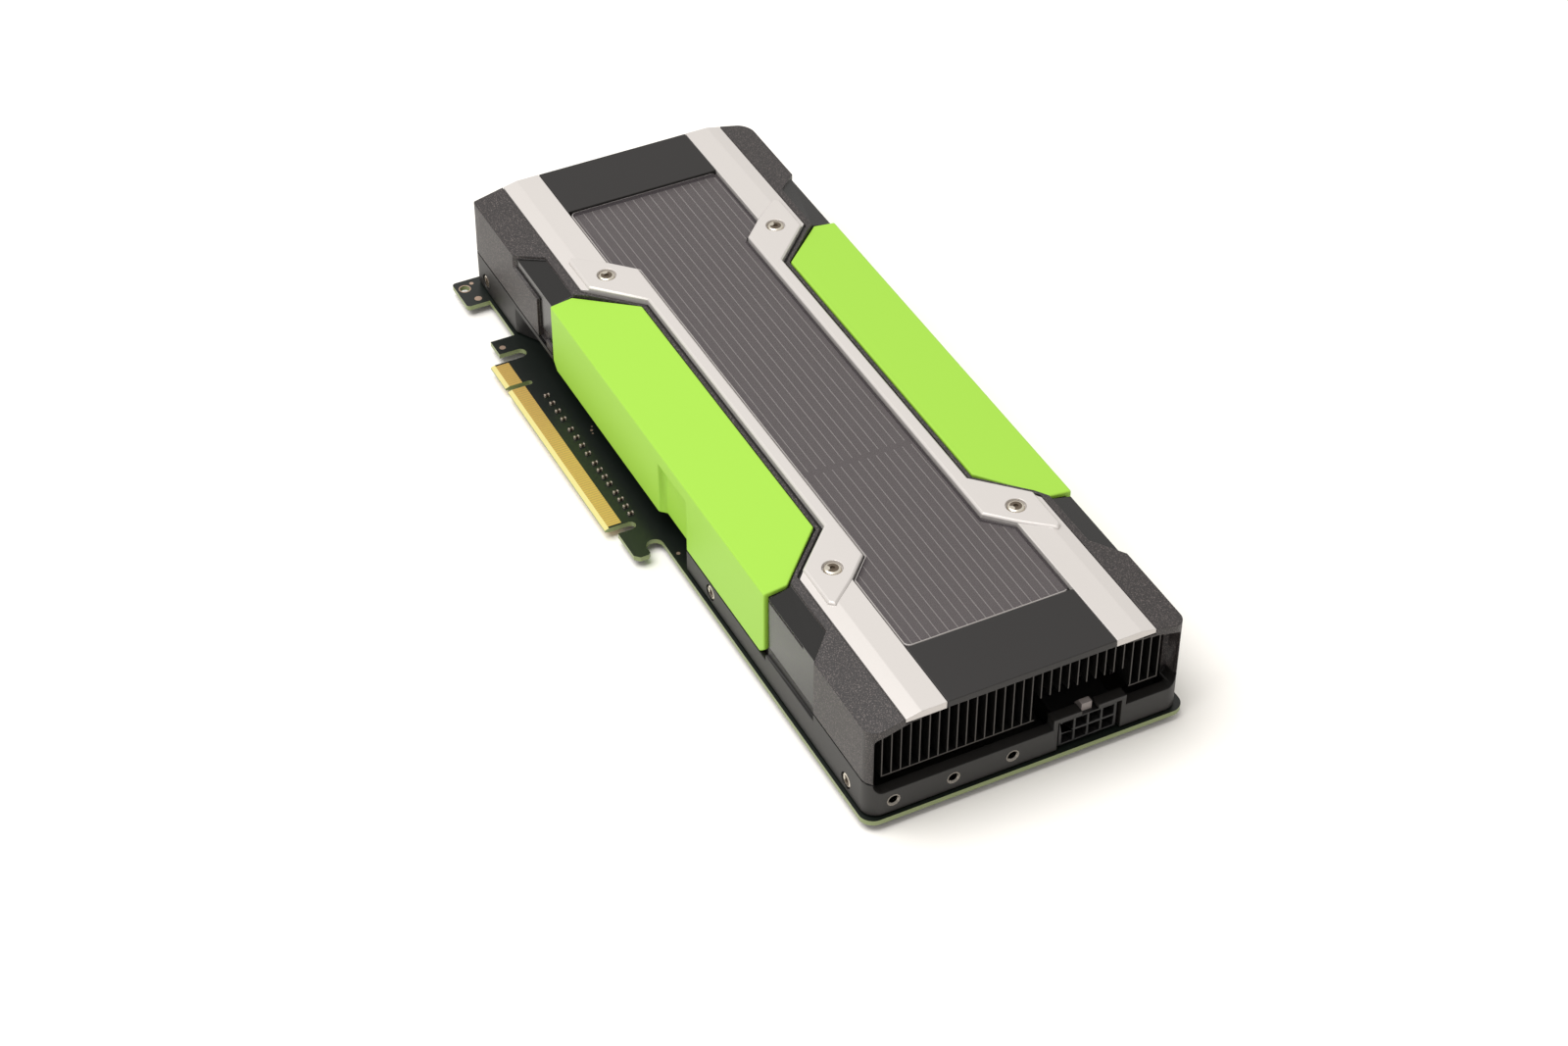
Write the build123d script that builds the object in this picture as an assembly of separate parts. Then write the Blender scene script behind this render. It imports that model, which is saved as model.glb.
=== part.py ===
from build123d import *
import math
import os

os.makedirs("parts", exist_ok=True)

# Passively cooled accelerator card, millimetres, +Z up.
# +X runs from the slot bracket end to the power connector end, -Y is the edge contact side.
# The card lies on its back plate, and the origin is under the middle of its bounding box.

# Screws, their holes and posts: they are many, so each has few sides
peg_sides = 12
head_sides = 24                # heads and sinks on the outside
socket_sides = 6
socket_size = 2.0
socket_depth = 0.6

# Circuit board
board_length = 267.0
board_height = 111.15          # from the contact edge to the opposite long edge
board_thickness = 1.57
board_corner = 4.2
edge_step = 12.7               # from the contact edge to the long edge beside the tab
bracket_tab_length = 13.4
bracket_tab_drop = 7.5
bracket_tab_corner = 1.2
bracket_hole = 3.2
bracket_hole_from_end = 4.2
bracket_hole_from_edge = 8.0
bracket_ring = 0.35
key_tab_start = 33.2
key_tab_length = 7.1
key_tab_drop = 8.0

# Edge contacts and their tab
contact_count = 82
contact_pitch = 1.0
contact_width = 0.7
contact_reach = 5.6
contact_skin = 0.04
contact_margin = 1.1           # from the end of the tab to the middle of the first contact
first_group = 11               # contacts before the key notch
key_skip = 2                   # contacts left out at the key notch
key_notch_width = 1.9
key_notch_depth = 8.4
tab_start = 44.55
tab_bevel_reach = 1.3
tab_bevel_angle = 20.0
tab_slot_width = 3.3
tab_slot_depth = 9.0

# Retention hook beside the tab
hook_throat = 9.3              # from the slot to the middle of the round throat
hook_length = 12.3
hook_lift = 2.7
hook_thickness = 4.9
hook_nose = 1.5

# Back plate
back_inset = 2.0
back_depth = 2.4
back_sheet = 1.0
back_rim = 1.2
back_corner = 3.4
back_screw_head = 4.4
back_screw_shank = 2.2
far_screw_inset = 20.0
near_screw_inset = 12.0
screw_side_gap = 6.6           # from the cover's side
low_screw_x = -15.5            # the two middle screws, from the cover's middle
low_screw_gap = 14.4
high_screw_x = 20.0

# Cover outline; heights are above the board's top face
cover_inset = 1.0              # from the board's edges to the frame and cover
cover_top_gap = 1.65           # from the board's long edge opposite the contacts
cover_far_gap = 2.2            # from the board's bracket end to the cover
cover_corner = 4.4
top_height = 33.9
flat_half = 33.0
rail_outer_half = 37.5
rail_outer_drop = 1.0
shoulder_drop = 3.4
seam_height = 11.6
skin_depth = 1.8               # depth of the pockets that take the rails, window and panels
skin_wall = 1.2
skin_inner_half = 22.0
skin_inner_fall = 3.0
cover_wall = 3.4
mouth_wall = 1.8
mouth_top = 2.3
mouth_corner = 2.2
mouth_length = 6.0
fit_gap = 0.3

# Rails, window and end panels, as distances from the cover's middle
rail_inner_half = 25.5
neck_outer_half = 22.4
neck_inner_half = 18.4
neck_outer_x = 57.1
neck_inner_x = 72.3
boss_inner_x = 79.5
boss_outer_x = 72.2
boss_tip_x = 86.7
boss_tip_half = 34.2
boss_outer_half = 35.7
boss_rise = 0.6
boss_bevel = 0.5
rail_gap = 1.0
rail_end_lip = 2.5
window_half_length = 108.8
window_sink = 0.4
window_corner = 2.0
window_gap = 0.5
window_ledge = 1.8
rail_screw_x = 73.6
rail_screw_half = 28.4
rail_screw_head = 4.9
rail_screw_head_depth = 0.9
rail_screw_sink = 6.0
rail_screw_sink_depth = 1.2
rail_screw_shank = 2.5
rail_screw_reach = 4.1         # below the rail's seat
rail_screw_boss = 6.0

# Side panels and the shallow recesses beside them
side_half_length = 72.0
side_inner_half = 24.8
side_inner_drop = 0.4
side_corner_half = 40.7
side_corner_x = 56.2
side_thickness = 1.8
side_foot = 7.6
side_foot_corner = 2.6
side_rib = 1.4                 # ridge of the shroud between the rail's gap and the panel
side_rib_drop = 0.9
recess_half_length = 100.6
recess_bevel_x = 92.8
recess_inner_half = 40.2
recess_depth = 0.9
recess_step_x = 82.4
recess_step_drop = 4.5
recess_foot_height = 14.8
notch_length = 6.0
notch_rise = 0.5
notch_height = 4.0
groove_drop = 1.2              # from the shoulder down to the narrow groove
groove_height = 0.8
band_foot = 9.2
latch_start = 137.8            # pocket that clears the slot's latch, from the bracket end
latch_end = 156.3
latch_depth = 1.9
latch_wall = 1.2
latch_drop = 5.0

# Base frame
frame_foot = 0.6
frame_wall = 3.4
frame_lip = 8.4
frame_lip_round = 3.0
frame_floor = 2.2
frame_floor_thickness = 1.6
setback_start = 32.7           # wall stepped in beside the contacts, from the bracket end
setback_slope = 15.8
setback_depth = 9.0
setback_wall = 1.6
setback_top = 10.0
post_size = 5.0
insert_count = 3
insert_pitch = 17.9
insert_side_gap = 7.6
insert_height = 4.6
insert_length = 4.0
insert_outside = 4.0
insert_bore = 2.5
insert_mouth = 3.2
insert_boss = 5.6
side_screw_height = 3.9
side_screw_head = 5.0
side_screw_depth = 1.4
side_screw_shank = 2.5
side_screw_reach = 6.5
side_screw_inset = 13.5        # from the board's power end
side_screw_past_latch = 15.3   # the middle pair, from the latch pocket
side_screw_far_inset = 8.8     # the last pair, from the bracket end

# Processors, bridge chip and memory
processor_inset = 62.0         # from the board's ends
processor_side = 42.0
processor_board = 1.5
processor_ring = 3.0
processor_ring_rise = 0.5
die_side = 23.5
die_thickness = 0.8
floor_window = 54.0
memory_length = 14.0
memory_width = 12.0
memory_height = 1.2
rear_memory_height = 1.1
memory_column = 33.2
memory_gap = 3.0
memory_side_gap = 14.6
bridge_gap = 1.8
bridge_side = 23.0
bridge_height = 1.4

# Power parts between the processors
power_pitch = 9.5
power_low_gap = 8.5
power_side_gap = 6.9
choke_x = -10.2
choke_side = 6.6
choke_height = 4.0
choke_corner = 0.7
stage_x = -0.7
stage_length = 6.0
stage_width = 5.0
stage_height = 0.9
can_x = 9.3
can_diameter = 6.3
can_height = 7.6
can_base = 6.6
can_base_height = 0.9
power_window_half = 15.6
power_window_margin = 4.8

# Small parts on the edge strip
coupling_starts = (65.8, 83.9, 101.5, 116.4)
coupling_pitches = (4.2, 4.2, 3.5, 3.5)
coupling_per_group = 4
coupling_from_edge = 9.55
coupling_length = 1.6
coupling_width = 0.8
spots_from_end = (2.4, 10.7, 37.5, 85.1, 86.7, 88.2, 148.6)
spots_from_edge = (11.0, 9.9, 6.9, 15.9, 15.1, 14.8, 14.6)
spot_diameters = (1.4, 2.4, 2.0, 0.6, 0.9, 0.6, 1.2)

# Heat sinks
fin_pitch = 2.79
fin_edge_gap = 5.1             # least room from the cover's side to a fin
fin_thickness = 0.35
fin_shift = -0.9
fin_low = 12.0
fin_top_gap = 0.6
fin_flange = 0.4
fin_setback = 2.6
bank_split_inset = 102.1       # joint of the two banks, from the cover's power end
bank_gap = 0.6
plate_thickness = 3.4
plate_side_gap = 11.5
plate_margin = 9.0
plate_corner = 4.0
pedestal_side = 38.0
sink_post = 5.0
sink_post_half = 24.0
sink_shank = 2.5
sink_shank_reach = 6.0
sink_head = 5.0
sink_head_depth = 0.8
sink_head_gap = 0.6

# Power header
header_shift = 19.0
header_columns = 4
header_rows = 2
header_pitch = 4.2
header_width = 17.9
header_low = 0.9
header_height = 8.8
header_depth = 13.0
header_recess = 0.8
header_cell = 3.5
header_cell_depth = 10.0
header_pin = 1.1
header_pin_reach = 7.0
header_tail_pitch = 2.4
header_tail_room = 6.0
catch_width = 3.2
catch_height = 2.6
catch_length = 4.0
catch_setback = 1.2
portal_wall = 1.35
portal_gap = 0.9
portal_notch = 5.2
cutout_depth = 24.0
cutout_low_half = 16.0         # from the header's middle towards the contacts
cutout_high_half = 13.2
cutout_top = 19.6

# Derived places
x_far = -board_length / 2
x_near = board_length / 2
y_contact = -board_height / 2
y_top = board_height / 2
y_edge = y_contact + edge_step
z_board_low = back_depth
z_board = z_board_low + board_thickness
cover_half = (board_height - edge_step - cover_inset - cover_top_gap) / 2
cover_half_length = (board_length - cover_far_gap - cover_inset) / 2
x_mid = x_far + cover_far_gap + cover_half_length
y_mid = y_edge + cover_inset + cover_half
z_seat = top_height - skin_depth
z_shoulder = top_height - shoulder_drop
skin_inner_top = z_seat - skin_wall
skin_inner_side = skin_inner_top - skin_inner_fall
rail_screw_low = z_seat - rail_screw_reach
latch_top = z_shoulder - latch_drop
z_die = processor_board + die_thickness
z_plate = fin_low - plate_thickness
side_slope = (top_height - side_inner_drop - z_shoulder) / (cover_half - side_inner_half)
tab_length = 2 * contact_margin + (contact_count + key_skip - 1) * contact_pitch
x_tab = x_far + tab_start
x_tab_end = x_tab + tab_length
x_key = x_tab + contact_margin + (first_group - 1 + (key_skip + 1) / 2) * contact_pitch
bank_split = cover_half_length - bank_split_inset
plate_half = cover_half - plate_side_gap
fin_count = int(2 * (cover_half - fin_edge_gap) / fin_pitch) + 1
memory_pitch = memory_length + memory_gap
memory_per_column = int((2 * (cover_half - memory_side_gap) + memory_gap) / memory_pitch)
bridge_y = setback_depth + setback_wall + bridge_gap + bridge_side / 2 - cover_half
power_first = bridge_y + bridge_side / 2 + power_low_gap
power_count = int((cover_half - frame_wall - power_side_gap - power_first) / power_pitch) + 1
insert_first = insert_side_gap - cover_half
header_front = cover_half_length - header_recess
header_back = header_front - header_depth
header_top = header_low + header_height


def from_end(distance):
    # a distance from the board's bracket end, counted from the cover's middle
    return x_far + distance - x_mid


def processor_places():
    return [from_end(processor_inset), from_end(board_length - processor_inset)]


def area(x0, x1, y0, y1):
    return Pos((x0 + x1) / 2, (y0 + y1) / 2) * Rectangle(x1 - x0, y1 - y0)


def square(x, y, side):
    return Pos(x, y) * Rectangle(side, side)


def outline(points):
    return make_face(Polyline(*points, close=True))


def block(x0, x1, y0, y1, z0, z1):
    return Pos((x0 + x1) / 2, (y0 + y1) / 2, (z0 + z1) / 2) * Box(x1 - x0, y1 - y0, z1 - z0)


def plate(sketch, z0, z1):
    return extrude(Pos(0, 0, z0) * sketch, amount=z1 - z0)


def along_x(sketch, x0, x1):
    # a sketch of (y, z) drawn along X
    return extrude(Plane.YZ.offset(x0) * sketch, amount=x1 - x0)


def along_y(sketch, y0, y1):
    # a sketch of (x, z) drawn along Y
    return extrude(Plane.XZ.offset(-y1) * sketch, amount=y1 - y0)


def peg(x, y, z0, z1, diameter, sides=peg_sides):
    return plate(Pos(x, y) * RegularPolygon(diameter / 2, sides), z0, z1)


def peg_x(x0, x1, y, z, diameter, sides=peg_sides):
    return along_x(Pos(y, z) * RegularPolygon(diameter / 2, sides), x0, x1)


def peg_y(x, y0, y1, z, diameter, sides=peg_sides):
    return along_y(Pos(x, z) * RegularPolygon(diameter / 2, sides), y0, y1)


def other_side(shape):
    return mirror(shape, about=Plane.XZ)


def other_end(shape):
    return mirror(shape, about=Plane.YZ)


def place(shapes):
    # from the cover's middle on the board's top face to the card's own frame
    return [Pos(x_mid, y_mid, z_board) * shape for shape in shapes]


def save(name, shapes):
    solids = [solid for shape in shapes for solid in shape.solids()]
    made = solids[0] if len(solids) == 1 else Compound(children=solids)
    export_step(made, "parts/" + name + ".step")


# Circuit board, drawn in the card's own frame
def slot_sketch(x, width, depth):
    # a slot with a round end, cut in from the contact edge
    y_end = y_contact + depth - width / 2
    return area(x - width / 2, x + width / 2, y_contact - 1, y_end) + Pos(x, y_end) * Circle(width / 2)


def hook_sketch():
    x0 = x_tab_end + tab_slot_width
    x1 = x0 + hook_length
    x2 = x0 + hook_throat
    y0 = y_contact + hook_lift
    y1 = y0 + hook_thickness
    arm = outline([(x0 - 1, y0), (x1 - hook_nose, y0), (x1, y0 + hook_nose), (x1, y1 - hook_nose / 2),
                   (x1 - hook_nose / 2, y1), (x2, y1), (x2, y_edge + 1), (x0 - 1, y_edge + 1)])
    return arm - Pos(x2, (y1 + y_edge) / 2) * Circle((y_edge - y1) / 2)


def board_sketch():
    body = area(x_far, x_near, y_edge, y_top)
    body = fillet([v for v in body.vertices() if v.X > 0 or v.Y > 0], board_corner)
    tab = area(x_far, x_far + bracket_tab_length, y_edge - bracket_tab_drop, y_edge + 1)
    tab = fillet([v for v in tab.vertices() if v.Y < y_edge], bracket_tab_corner)
    x_key_tab = x_far + key_tab_start
    key = area(x_key_tab, x_tab + 1, y_edge - key_tab_drop, y_edge + 1)
    contacts = area(x_tab, x_tab_end, y_contact, y_edge + 1)
    join = area(x_tab_end - 1, x_tab_end + tab_slot_width, y_contact + hook_lift, y_edge + 1)
    return body + tab + key + contacts + join + hook_sketch()


def board_screw_places():
    side = cover_half - screw_side_gap
    ends = (from_end(far_screw_inset), from_end(board_length - near_screw_inset))
    places = [(x, y) for x in ends for y in (-side, side)]
    return places + [(low_screw_x, low_screw_gap - cover_half), (high_screw_x, side)]


def sink_screw_places():
    half = sink_post_half
    return [(x + i * half, j * half) for x in processor_places() for i in (-1, 1) for j in (-1, 1)]


def circuit_board():
    sketch = board_sketch()
    gap = tab_start - key_tab_start - key_tab_length
    sketch -= slot_sketch(x_tab - gap / 2, gap, edge_step)
    sketch -= slot_sketch(x_key, key_notch_width, key_notch_depth)
    sketch -= slot_sketch(x_tab_end + tab_slot_width / 2, tab_slot_width, tab_slot_depth)
    sketch -= Pos(x_far + bracket_hole_from_end, y_contact + bracket_hole_from_edge) * Circle(bracket_hole / 2)
    for x, y in board_screw_places():
        sketch -= Pos(x_mid + x, y_mid + y) * RegularPolygon(back_screw_shank / 2, peg_sides)
    for x, y in sink_screw_places():
        sketch -= Pos(x_mid + x, y_mid + y) * RegularPolygon(sink_shank / 2 + fit_gap, peg_sides)
    board = plate(sketch, z_board_low, z_board)
    drop = tab_bevel_reach * math.tan(math.radians(tab_bevel_angle))
    for z, way in ((z_board, -1), (z_board_low, 1)):
        wedge = [(y_contact - 1, z + way * drop), (y_contact, z + way * drop),
                 (y_contact + tab_bevel_reach, z), (y_contact + tab_bevel_reach, z - way), (y_contact - 1, z - way)]
        board -= along_x(outline(wedge), x_tab - gap / 2, x_tab_end + 1)
    return board


def edge_contacts():
    pads = []
    for n in range(contact_count):
        skipped = key_skip if n >= first_group else 0
        x = x_tab + contact_margin + (n + skipped) * contact_pitch - contact_width / 2
        for z in (z_board, z_board_low - contact_skin):
            pads.append(block(x, x + contact_width, y_contact + tab_bevel_reach, y_contact + contact_reach,
                              z, z + contact_skin))
    return pads


def board_pads():
    ring = Circle(bracket_hole / 2 + bracket_ring) - Circle(bracket_hole / 2)
    pads = [plate(Pos(x_far + bracket_hole_from_end, y_contact + bracket_hole_from_edge) * ring,
                  z_board, z_board + contact_skin)]
    for x, y, size in zip(spots_from_end, spots_from_edge, spot_diameters):
        pads.append(peg(x_far + x, y_contact + y, z_board, z_board + contact_skin, size))
    return pads


def coupling_capacitors():
    parts = []
    y = y_contact + coupling_from_edge - coupling_length / 2
    for start, pitch in zip(coupling_starts, coupling_pitches):
        for n in range(coupling_per_group):
            x = x_far + start + n * pitch - coupling_width / 2
            parts.append(block(x, x + coupling_width, y, y + coupling_length, z_board, z_board + coupling_width))
    return parts


# Back plate: a shallow tray that meets the board along its rim
def tray_sketch(inset):
    sketch = area(x_far + inset, x_near - inset, y_edge + inset, y_top - inset)
    return fillet(sketch.vertices(), back_corner - (inset - back_inset))


def flat_head():
    # a screw's flat head, narrowing to its shank
    wide = RegularPolygon(back_screw_head / 2, peg_sides)
    slim = Pos(0, 0, back_sheet) * RegularPolygon(back_screw_shank / 2, peg_sides)
    return loft([wide, slim], ruled=True)


def back_plate():
    tray = plate(tray_sketch(back_inset), 0, back_depth)
    tray -= plate(tray_sketch(back_inset + back_rim), back_sheet, back_depth)
    for x, y in board_screw_places():
        spot = Pos(x_mid + x, y_mid + y)
        tray += spot * peg(0, 0, back_sheet / 2, back_depth, back_screw_head)
        tray -= spot * peg(0, 0, 0, back_depth, back_screw_shank)
        tray -= spot * flat_head()
    for x, y in sink_screw_places():
        tray -= peg(x_mid + x, y_mid + y, 0, back_sheet, sink_head + 2 * sink_head_gap)
    return tray


def back_plate_screws():
    parts = []
    for x, y in board_screw_places():
        screw = flat_head() + peg(0, 0, back_sheet, z_board + frame_floor, back_screw_shank)
        screw -= peg(0, 0, 0, socket_depth, 2 * back_screw_shank / 3, socket_sides)
        parts.append(Pos(x_mid + x, y_mid + y) * screw)
    return parts


# Processors and chips, drawn from the cover's middle
def processor_packages():
    parts = []
    for x in processor_places():
        package = plate(square(x, 0, processor_side), 0, processor_board)
        ring = square(x, 0, processor_side) - square(x, 0, processor_side - 2 * processor_ring)
        parts.append(package + plate(ring, processor_board, processor_board + processor_ring_rise))
    return parts


def processor_dies():
    return [plate(square(x, 0, die_side), processor_board, z_die) for x in processor_places()]


def memory_places():
    places = []
    for x in processor_places():
        for n in range(memory_per_column):
            step = (n - (memory_per_column - 1) / 2) * memory_pitch
            places.append((x - memory_column, step, memory_width, memory_length))
            places.append((x + memory_column, step, memory_width, memory_length))
    return places


def chips(z0, z1):
    return [plate(Pos(x, y) * Rectangle(w, d), z0, z1) for x, y, w, d in memory_places()]


def bridge_sketch():
    return square(0, bridge_y, bridge_side)


def thermal_pads():
    return chips(memory_height, frame_floor) + [plate(bridge_sketch(), bridge_height, frame_floor)]


# Power parts in columns between the processors
def power_rows():
    return [power_first + n * power_pitch for n in range(power_count)]


def power_chokes():
    parts = []
    for y in power_rows():
        body = plate(square(choke_x, y, choke_side), 0, choke_height)
        parts.append(chamfer(body.edges().filter_by(Axis.Z), choke_corner))
    return parts


def power_stages():
    shape = Rectangle(stage_width, stage_length)
    return [plate(Pos(stage_x, y) * shape, 0, stage_height) for y in power_rows()]


def capacitors():
    parts = []
    for y in power_rows():
        base = plate(square(can_x, y, can_base), 0, can_base_height)
        parts.append(base + peg(can_x, y, can_base_height, can_height, can_diameter))
    return parts


# Base frame: a cast tray over the board, with a lip at both open ends
def cover_sketch(inset=0.0):
    sketch = area(-cover_half_length + inset, cover_half_length - inset, -cover_half + inset, cover_half - inset)
    return fillet(sketch.vertices(), cover_corner - inset)


def setback_sketch(grow=0.0):
    # seen from above: the long wall runs in beside the contacts and back out
    lean = setback_slope / setback_depth
    x0 = from_end(setback_start) - grow * math.hypot(1, lean)
    x1 = from_end(latch_end) + grow
    depth = setback_depth + grow
    out = -cover_half - 1
    return outline([(x0, out), (x0, -cover_half), (x0 + depth * lean, -cover_half + depth),
                    (x1, -cover_half + depth), (x1, out)])


def latch_sketch(grow=0.0):
    # pocket for the slot's latch, seen from above
    x0 = from_end(latch_start) - grow
    x1 = from_end(latch_end) + grow
    y0 = -cover_half
    y1 = y0 + latch_depth + grow
    return outline([(x0, y0 - 1), (x0, y0), (x0 + latch_depth, y1), (x1 - latch_depth, y1), (x1, y0), (x1, y0 - 1)])


def lip_cut():
    # the open end above the lip, with round lower corners
    half = cover_half - mouth_wall
    opening = area(-half, half, frame_lip, seam_height + 2 * frame_lip_round)
    opening = fillet(opening.vertices().group_by(Axis.Y)[0], frame_lip_round)
    return along_x(opening, cover_half_length - mouth_length, cover_half_length + 1)


def header_clearance():
    half = header_width / 2 + portal_gap
    return block(header_back - header_tail_room, cover_half_length + 1, header_shift - half, header_shift + half,
                 0, header_top + portal_gap)


def header_portal():
    # raised surround of the power header, with a notch for the plug's latch
    half = header_width / 2 + portal_gap + portal_wall
    top = header_top + portal_gap
    x0 = cover_half_length - frame_wall
    wall = block(x0, cover_half_length, header_shift - half, header_shift + half, frame_foot, top + portal_wall)
    return wall - block(x0 - 1, cover_half_length + 1, header_shift - portal_notch / 2,
                        header_shift + portal_notch / 2, top, top + portal_wall + 1)


def insert_places():
    return [insert_first + n * insert_pitch for n in range(insert_count)]


def side_screw_places():
    return [from_end(board_length - side_screw_inset), from_end(latch_end + side_screw_past_latch),
            from_end(side_screw_far_inset)]


def side_screw_cuts():
    cuts = []
    for x in side_screw_places():
        head = peg_y(x, cover_half - side_screw_depth, cover_half + 1, side_screw_height, side_screw_head, head_sides)
        head += peg_y(x, cover_half - side_screw_reach, cover_half, side_screw_height, side_screw_shank)
        cuts += [head, other_side(head)]
    return cuts


def frame_bosses():
    bosses = []
    for y in insert_places():
        bosses.append(block(cover_half_length - insert_length, cover_half_length - 1, y - insert_boss / 2,
                            y + insert_boss / 2, frame_floor, insert_height + insert_boss / 2))
    for x in side_screw_places():
        half = side_screw_head / 2
        boss = block(x - half, x + half, cover_half - side_screw_reach, cover_half - 1, frame_floor,
                     side_screw_height + half)
        bosses += [boss, other_side(boss)]
    return bosses


def shelf_cut():
    # lets the foot of a side panel lie flush over the frame's wall
    half = side_half_length + fit_gap
    shelf = block(-half, half, cover_half - side_thickness, cover_half + 1, side_foot - fit_gap, seam_height + 1)
    return shelf + block(half, recess_half_length, cover_half - recess_depth, cover_half + 1, band_foot,
                         seam_height + 1)


def latch_clearance(z0):
    return plate(latch_sketch(latch_wall + fit_gap), z0, latch_top + latch_wall + fit_gap)


def base_frame():
    body = plate(cover_sketch(), frame_foot, seam_height)
    body -= plate(cover_sketch(frame_wall), frame_floor + frame_floor_thickness, seam_height + 1)
    body -= plate(cover_sketch(frame_wall), 0, frame_floor)
    for x in processor_places():
        body -= plate(square(x, 0, floor_window), 0, setback_top)
    body -= block(-power_window_half, power_window_half, power_rows()[0] - power_window_margin,
                  power_rows()[-1] + power_window_margin, 0, seam_height)
    setback = setback_sketch()
    body -= plate(setback, 0, seam_height)
    body += plate((setback_sketch(setback_wall) - setback) & cover_sketch(), frame_foot, seam_height)
    body += plate(setback & cover_sketch(), setback_top, seam_height)
    body -= lip_cut()
    body -= other_end(lip_cut())
    body -= shelf_cut()
    body -= other_side(shelf_cut())
    body -= latch_clearance(side_foot - fit_gap)
    body += header_portal()
    for boss in frame_bosses():
        body += boss
    for x, y in board_screw_places():
        body += peg(x, y, 0, frame_floor + frame_floor_thickness, post_size)
        body -= peg(x, y, 0, frame_floor, back_screw_shank)
    body -= header_clearance()
    for y in insert_places():
        body -= peg_x(cover_half_length - insert_length, cover_half_length + 1, y, insert_height, insert_outside)
    for cut in side_screw_cuts():
        body -= cut
    return [body]


def bracket_inserts():
    parts = []
    for y in insert_places():
        x1 = cover_half_length
        bush = peg_x(x1 - insert_length, x1, y, insert_height, insert_outside)
        bush -= Pos(x1 - insert_length / 2, y, insert_height) * Rot(0, 90, 0) * Cylinder(insert_bore / 2, insert_length)
        depth = (insert_mouth - insert_bore) / 2
        flare = Rot(0, 90, 0) * Cone(insert_bore / 2, insert_mouth / 2, depth)
        parts.append(bush - Pos(x1 - depth / 2, y, insert_height) * flare)
    return parts


def frame_side_screws():
    parts = []
    y1 = cover_half - fit_gap
    for x in side_screw_places():
        screw = peg_y(x, cover_half - side_screw_depth, y1, side_screw_height, side_screw_head, head_sides)
        screw += peg_y(x, cover_half - side_screw_reach, y1, side_screw_height, side_screw_shank)
        screw -= peg_y(x, y1 - socket_depth, y1, side_screw_height, socket_size, socket_sides)
        parts += [screw, other_side(screw)]
    return parts


# Power header: a housing of cells with pins that turn down to the board
def header_cells():
    cells = []
    for n in range(header_columns):
        for m in range(header_rows):
            y = header_shift + (n - (header_columns - 1) / 2) * header_pitch
            z = header_low + header_height / 2 + (m - (header_rows - 1) / 2) * header_pitch
            cells.append((y, z, m))
    return cells


def header_housing():
    half = header_width / 2
    body = block(header_back, header_front, header_shift - half, header_shift + half, header_low, header_top)
    for y, z, m in header_cells():
        size = header_cell / 2
        body -= block(header_front - header_cell_depth, header_front + 1, y - size, y + size, z - size, z + size)
    x1 = header_front - catch_setback
    wedge = outline([(x1, header_top), (x1 - catch_length, header_top),
                     (x1 - catch_length / 2, header_top + catch_height), (x1, header_top + catch_height)])
    return [body + along_y(wedge, header_shift - catch_width / 2, header_shift + catch_width / 2)]


def header_pins():
    parts = []
    size = header_pin / 2
    for y, z, m in header_cells():
        x0 = header_back - (m + 1) * header_tail_pitch
        x1 = header_front - header_cell_depth + header_pin_reach
        pin = block(x0 - size, x1, y - size, y + size, z - size, z + size)
        parts.append(pin + block(x0 - size, x0 + size, y - size, y + size, 0, z + size))
    return parts


def pinned_housing():
    housing = header_housing()[0]
    for pin in header_pins():
        housing -= pin
    return [housing]


# Heat sinks: a plate with a pedestal over each processor, and a bank of folded fins on it
def bank_span(number):
    end = cover_half_length - fin_setback
    return ((-end, bank_split - bank_gap / 2), (bank_split + bank_gap / 2, end))[number]


def header_cutout():
    return block(cover_half_length - cutout_depth, cover_half_length + 1, header_shift - cutout_low_half,
                 header_shift + cutout_high_half, 0, cutout_top)


def roof_height(y):
    # underside of the cover, which falls towards its sides
    beyond = max(0, abs(y) - skin_inner_half)
    return skin_inner_top - skin_inner_fall * beyond / (cover_half - cover_wall - skin_inner_half)


def fin_bank(number):
    x0, x1 = bank_span(number)
    section = Sketch()
    for n in range(fin_count):
        row = n - (fin_count - 1) / 2
        y = fin_shift + row * fin_pitch - fin_thickness / 2
        top = roof_height(y) - fin_top_gap
        section += area(y, y + fin_thickness, fin_low, top)
        if n < fin_count - 1:
            top = min(top, roof_height(y + fin_pitch) - fin_top_gap)
            section += area(y, y + fin_pitch, fin_low, fin_low + fin_flange)
            section += area(y, y + fin_pitch, top - fin_flange, top)
    bank = along_x(section, x0, x1) - header_cutout()
    for x, y in rail_screw_places():
        bank -= peg(x, y, rail_screw_low - fit_gap - fin_top_gap, top_height, rail_screw_boss + 2 * fin_top_gap)
    return [bank]


def heatsink_plate(number):
    x0, x1 = bank_span(number)
    x = processor_places()[number]
    sketch = fillet(area(x0 + plate_margin, x1 - plate_margin, -plate_half, plate_half).vertices(), plate_corner)
    body = plate(sketch, z_plate, fin_low) + plate(square(x, 0, pedestal_side), z_die, z_plate)
    for i in (-1, 1):
        for j in (-1, 1):
            body += peg(x + i * sink_post_half, j * sink_post_half, 0, z_plate, sink_post)
            body -= peg(x + i * sink_post_half, j * sink_post_half, 0, sink_shank_reach, sink_shank)
    return [body - header_cutout()]


def heatsink_screws():
    parts = []
    under = -board_thickness
    for x, y in sink_screw_places():
        screw = peg(x, y, under - sink_head_depth, under, sink_head, socket_sides)
        parts.append(screw + peg(x, y, under, sink_shank_reach, sink_shank))
    return parts


# Rails, window and end panels
def rail_screw_places():
    return [(x, y) for x in (-rail_screw_x, rail_screw_x) for y in (-rail_screw_half, rail_screw_half)]


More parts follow.
